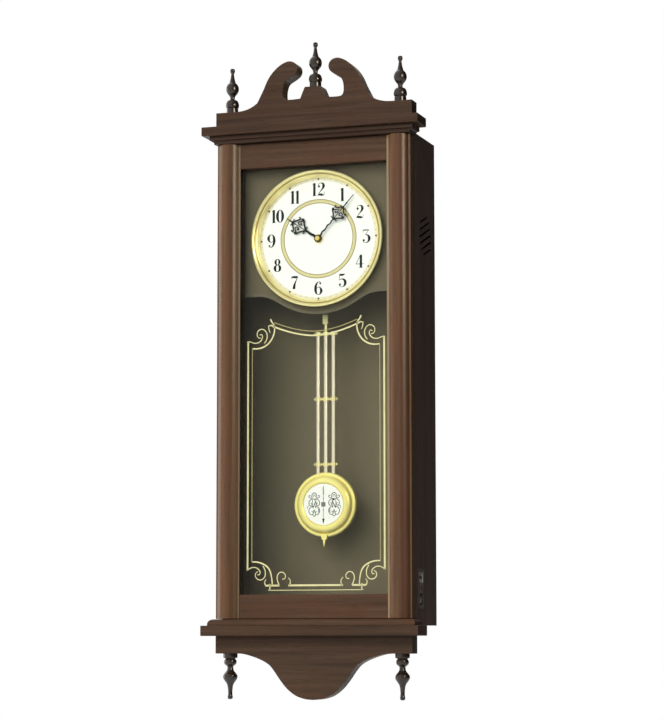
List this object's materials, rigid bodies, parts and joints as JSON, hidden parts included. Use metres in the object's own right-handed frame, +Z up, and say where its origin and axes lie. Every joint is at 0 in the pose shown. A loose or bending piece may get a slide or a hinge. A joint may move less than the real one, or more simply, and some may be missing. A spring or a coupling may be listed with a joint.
{
  "type": "pendulum wall clock",
  "caption": "Tall wall clock with a glazed hinged door between half-round columns, round dial, swinging pendulum, scrolled pediment and turned finials.",
  "frame": {"origin": "centre of the keyhole's round entry in the hanger plate, in the plane of the wall", "axes": "+Z up along the case, +Y towards the wall, so the dial and the door face -Y, +X to the right as seen from the front"},
  "size_m": [0.304, 0.134, 0.877],
  "materials": {
    "walnut_front": "satin lacquer over dark walnut stain",
    "walnut_dark": "satin lacquer over very dark walnut stain",
    "olive_panel": "matt olive-grey",
    "black_plastic": "moulded matt black",
    "steel": "zinc-plated",
    "gold_metal": "polished gold plate",
    "silver_metal": "polished",
    "brass": "plain",
    "white_dial": "matt white",
    "black_metal": "satin black",
    "copper": "enamelled winding",
    "green_board": "solder mask",
    "cell_jacket": "plain jacket",
    "dark_plastic": "satin",
    "grey_plastic": "satin",
    "glass": "clear"
  },
  "bodies": {
    "case": {"case_side_left": "walnut_dark", "case_side_right": "walnut_dark", "case_top": "walnut_dark", "case_bottom": "walnut_dark", "back_panel": "olive_panel", "back_hatch": "black_plastic", "back_screws": "steel", "hanging_rail": "walnut_dark", "hanger_plate": "steel", "cornice_block": "walnut_dark", "cornice_cove": "walnut_dark", "cornice_slab": "walnut_front", "pediment": "walnut_front", "base_slab": "walnut_front", "base_step": "walnut_front", "base_cleat": "walnut_dark", "apron": "walnut_front", "upper_finials": "walnut_dark", "lower_finials": "walnut_dark", "finial_studs": "steel", "dial_battens": "walnut_dark", "dial_board": "olive_panel", "dial_board_trim": "olive_panel", "dial": "white_dial", "bezel": "gold_metal", "movement_case": "black_plastic", "movement_cover": "black_plastic", "dial_nut": "brass", "drive_coil": "copper", "circuit_board": "green_board", "battery_holder": "black_plastic", "batteries": "cell_jacket", "speaker": "black_plastic", "control_plate": "dark_plastic", "hinge_leaves_case": "brass", "hinge_pins": "brass", "magnet_catch": "white_dial"},
    "door": {"door_stiles": "walnut_front", "door_rails": "walnut_front", "door_columns": "walnut_front", "door_glass": "glass", "glass_beads": "walnut_dark", "hinge_leaves_door": "brass", "strike_plate": "steel"},
    "minute": {"minute_hand": "black_metal", "centre_arbor": "brass", "set_knob": "black_plastic"},
    "hour": {"hour_hand": "black_metal", "hour_wheel": "brass"},
    "minute_gear": {"minute_wheel": "brass"},
    "pendulum": {"pendulum_hanger": "steel", "pendulum_clip": "gold_metal", "pendulum_rods": "silver_metal", "pendulum_crossbars": "gold_metal", "pendulum_bob": "gold_metal", "bob_medallion": "white_dial", "bob_back": "brass"},
    "switch": {"slide_switch": "grey_plastic"},
    "button": {"push_button": "black_plastic"},
    "volume": {"volume_wheel": "dark_plastic"}
  },
  "joints": [
    {"name": "door_hinge", "type": "hinge", "parent": "case", "child": "door", "pos_m": [-0.1382, -0.0902, -0.3], "axis": [0, 0, -1], "range_deg": [0, 100]},
    {"name": "minute_turn", "type": "hinge", "parent": "case", "child": "minute", "pos_m": [0, -0.09, -0.1044], "axis": [0, 1, 0], "continuous": true},
    {"name": "hour_turn", "type": "hinge", "parent": "case", "child": "hour", "pos_m": [0, -0.09, -0.1044], "axis": [0, 1, 0], "continuous": true},
    {"name": "minute_gear_turn", "type": "hinge", "parent": "case", "child": "minute_gear", "pos_m": [0, -0.077, -0.1164], "axis": [0, 1, 0], "continuous": true},
    {"name": "pendulum_swing", "type": "hinge", "parent": "case", "child": "pendulum", "pos_m": [0, -0.0605, -0.145], "axis": [0, 1, 0], "range_deg": [-6, 6]},
    {"name": "switch_slide", "type": "slide", "parent": "case", "child": "switch", "axis": [0, 0, 1], "range_m": [-0.003, 0.003]},
    {"name": "button_press", "type": "slide", "parent": "case", "child": "button", "axis": [-1, 0, 0], "range_m": [0, 0.0015], "stiffness_N_per_m": 300, "springref_m": -0.001},
    {"name": "volume_turn", "type": "hinge", "parent": "case", "child": "volume", "pos_m": [0.1302, -0.075, -0.5857], "axis": [0, 1, 0], "range_deg": [-140, 140]}
  ],
  "couplings": [
    {"joint": "hour_turn", "follows": "minute_turn", "ratio": 0.083333},
    {"joint": "minute_gear_turn", "follows": "minute_turn", "ratio": -0.33333}
  ]
}
